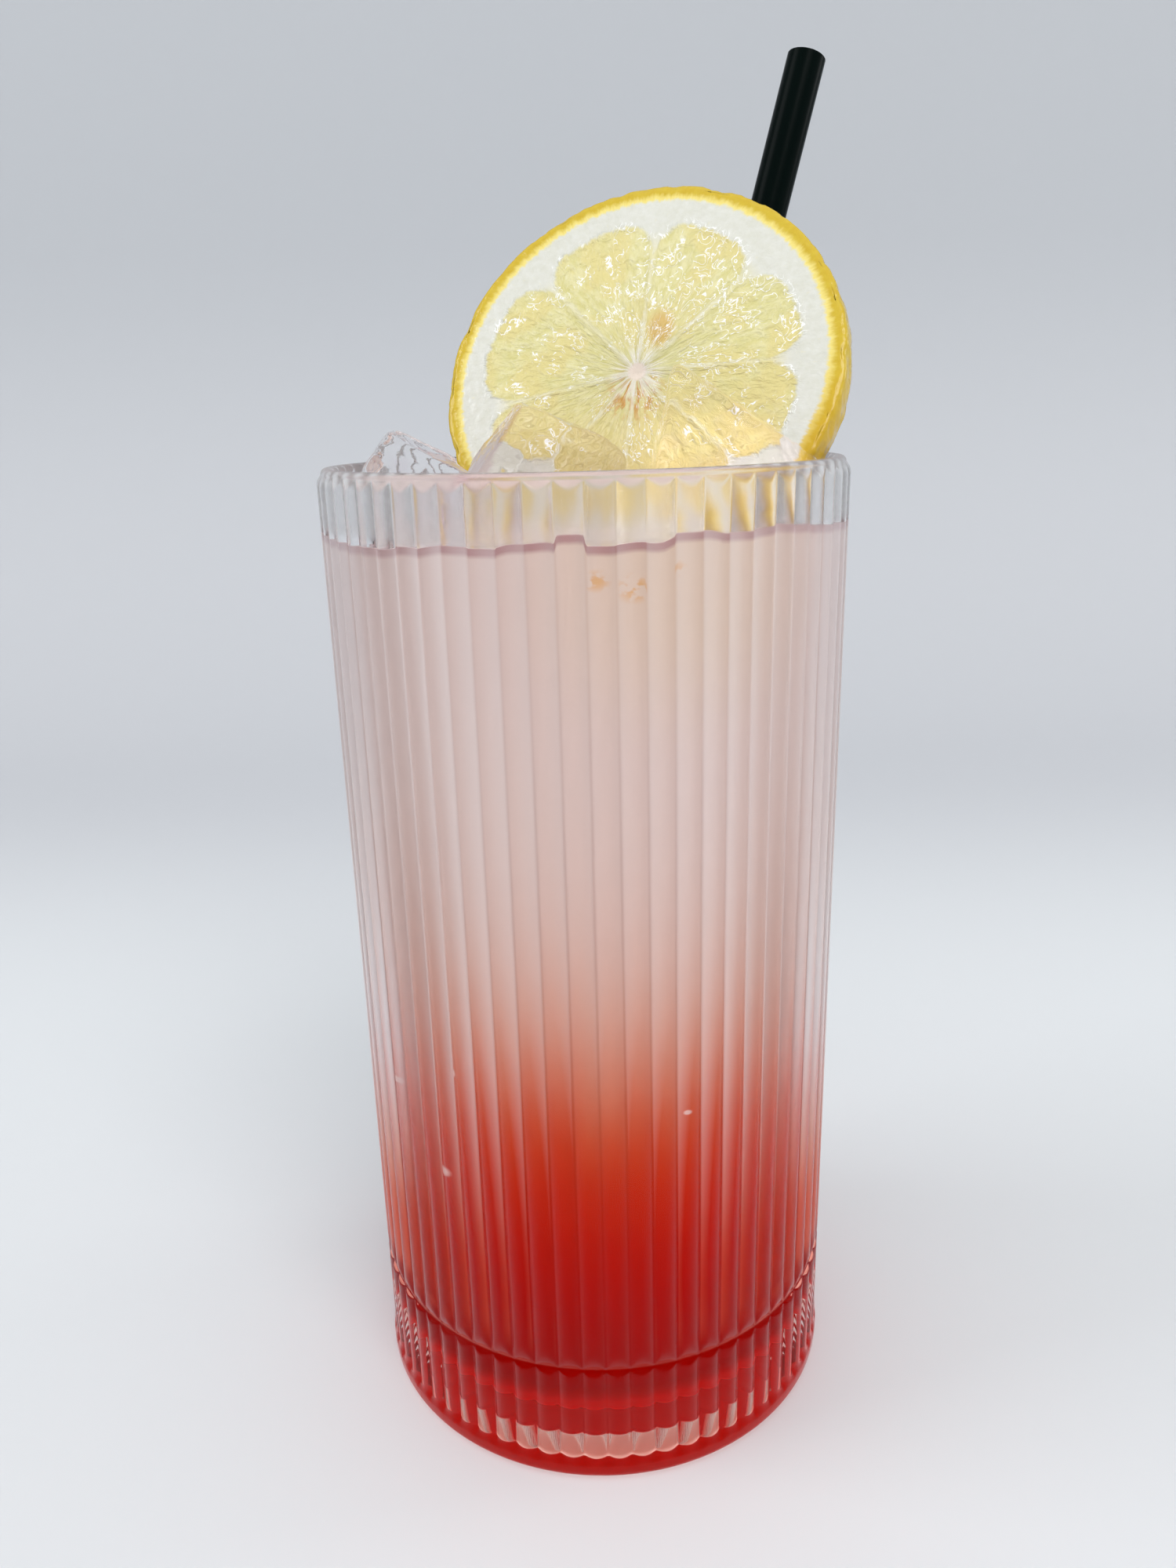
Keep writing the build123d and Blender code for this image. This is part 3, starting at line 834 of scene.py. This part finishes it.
def sweep():
    """Table and wall in one, with a wide curve between them."""
    n = Nodes("pale_stage")
    pos = n.add("TexCoord").outputs["Object"]
    tone = n.mix(n.noise(pos, 1.3, 1.0), lin(228, 231, 233), lin(224, 227, 229))
    xyz = n.add("SeparateXYZ", {0: pos})
    # painted shade: the table darker towards the back and the wall darker up from the curve
    tone = n.mix(n.span(xyz.outputs["Y"], 0.10, 0.32), tone, lin(206, 208, 212))
    tone = n.mix(n.span(xyz.outputs["Z"], 0.05, 0.30), tone, lin(195, 198, 202))
    # painted light: a faint glow on the table under its foot, for the light that the glass
    # gathers there
    under = n.vmath("LENGTH", n.vmath("MULTIPLY", pos, (1, 1, 0)))
    painted_under_glow = n.math("MULTIPLY", n.span(under, 0.0365, 0.034), 0.26)
    material = n.finish(
        n.add(
            "BsdfPrincipled",
            {
                "Base Color": tone,
                "Roughness": 0.7,
                "Emission Color": (1.0, 0.74, 0.64),
                "Emission Strength": painted_under_glow,
            },
        )
    )
    profile = [(-2.0, TABLE_Z), (CURVE_Y - 0.10, TABLE_Z)]
    for a in np.linspace(0, 90, 13) * DEG:
        profile.append(
            (CURVE_Y + CURVE_R * math.sin(a), CURVE_R - CURVE_R * math.cos(a) + TABLE_Z)
        )
    profile.append((CURVE_Y + CURVE_R, 2.0))
    verts = []
    for y, z in profile:
        verts += [(-2.5, y, z), (2.5, y, z)]
    faces = [(2 * i, 2 * i + 1, 2 * i + 3, 2 * i + 2) for i in range(len(profile) - 1)]
    return new_mesh("stage", verts, faces, material)


sweep()


def lamp(name, place, aim, size, watts, colour):
    """Square area lamp, size in metres."""
    data = bpy.data.lights.new(name, "AREA")
    data.shape = "RECTANGLE"
    data.size = size
    data.size_y = size
    data.energy = watts
    data.color = colour
    ob = bpy.data.objects.new(name, data)
    bpy.context.scene.collection.objects.link(ob)
    ob.location = place
    ob.rotation_euler = (Vector(aim) - Vector(place)).to_track_quat("-Z", "Y").to_euler()


# a broad key light above the front, a cooler one from the left, a small one behind the edge
lamp("front", (0.30, -0.62, 0.88), (0, 0, 0.09), 0.5, 4.05, (1.0, 0.99, 0.98))
lamp("side", (-0.80, -0.10, 0.75), (0, 0, 0.12), 0.45, 2.4, (0.97, 0.98, 1.0))
lamp("edge", (0.80, 0.22, 0.40), (0, 0, 0.15), 0.25, 0.7, (1.0, 1.0, 1.0))

ROOM_STRENGTH = 0.81
ROOM_DIM = (0.66, 0.67, 0.69, 1.0)
ROOM_BRIGHT = (0.96, 0.98, 1.0, 1.0)

world = bpy.data.worlds.new("soft_room")
world.use_nodes = True
wt = world.node_tree
way = wt.nodes.new("ShaderNodeTexCoord")
split = wt.nodes.new("ShaderNodeSeparateXYZ")
wt.links.new(way.outputs["Generated"], split.inputs[0])
# the room in front of the glass is dim, and bright above, beside and behind it
most = wt.nodes.new("ShaderNodeMath")
most.operation = "MAXIMUM"
for i, (axis, lo, hi) in enumerate((("Y", -0.85, -0.35), ("Z", 0.25, 0.65))):
    step = wt.nodes.new("ShaderNodeMapRange")
    step.interpolation_type = "SMOOTHSTEP"
    step.inputs[1].default_value = lo
    step.inputs[2].default_value = hi
    wt.links.new(split.outputs[axis], step.inputs[0])
    wt.links.new(step.outputs[0], most.inputs[i])
tone = wt.nodes.new("ShaderNodeMix")
tone.data_type = "RGBA"
wt.links.new(most.outputs[0], tone.inputs["Factor"])
tone.inputs[6].default_value = ROOM_DIM
tone.inputs[7].default_value = ROOM_BRIGHT
background = wt.nodes["Background"]
wt.links.new(tone.outputs[2], background.inputs["Color"])
background.inputs["Strength"].default_value = ROOM_STRENGTH
bpy.context.scene.world = world

# ------------------------------------------------------------------ camera
# close in front of the glass, at the height of its rim, looking down
CAMERA_PLACE = (0.0, -0.1739, 0.1520)
CAMERA_PITCH, CAMERA_YAW, CAMERA_ROLL = 17.40, -0.17, -1.51
SENSOR_HEIGHT, FOCAL_LENGTH = 36.0, 27.0

pitch, yaw, roll = CAMERA_PITCH * DEG, CAMERA_YAW * DEG, CAMERA_ROLL * DEG
forward = Vector(
    (math.sin(yaw) * math.cos(pitch), math.cos(yaw) * math.cos(pitch), -math.sin(pitch))
)
level = Vector((math.cos(yaw), -math.sin(yaw), 0.0))
upright = level.cross(forward)
right = level * math.cos(roll) + upright * math.sin(roll)
up = -level * math.sin(roll) + upright * math.cos(roll)
cam_data = bpy.data.cameras.new("camera")
cam_data.sensor_fit = "VERTICAL"
cam_data.sensor_height = SENSOR_HEIGHT
cam_data.lens = FOCAL_LENGTH
cam_data.clip_start = 0.005
camera = bpy.data.objects.new("camera", cam_data)
bpy.context.scene.collection.objects.link(camera)
m = Matrix((right, up, -forward)).transposed().to_4x4()
m.translation = Vector(CAMERA_PLACE)
camera.matrix_world = m
bpy.context.scene.camera = camera

scene = bpy.context.scene
scene.view_settings.view_transform = "Standard"
scene.cycles.max_bounces = 32
scene.cycles.transmission_bounces = 32
scene.cycles.diffuse_bounces = 5
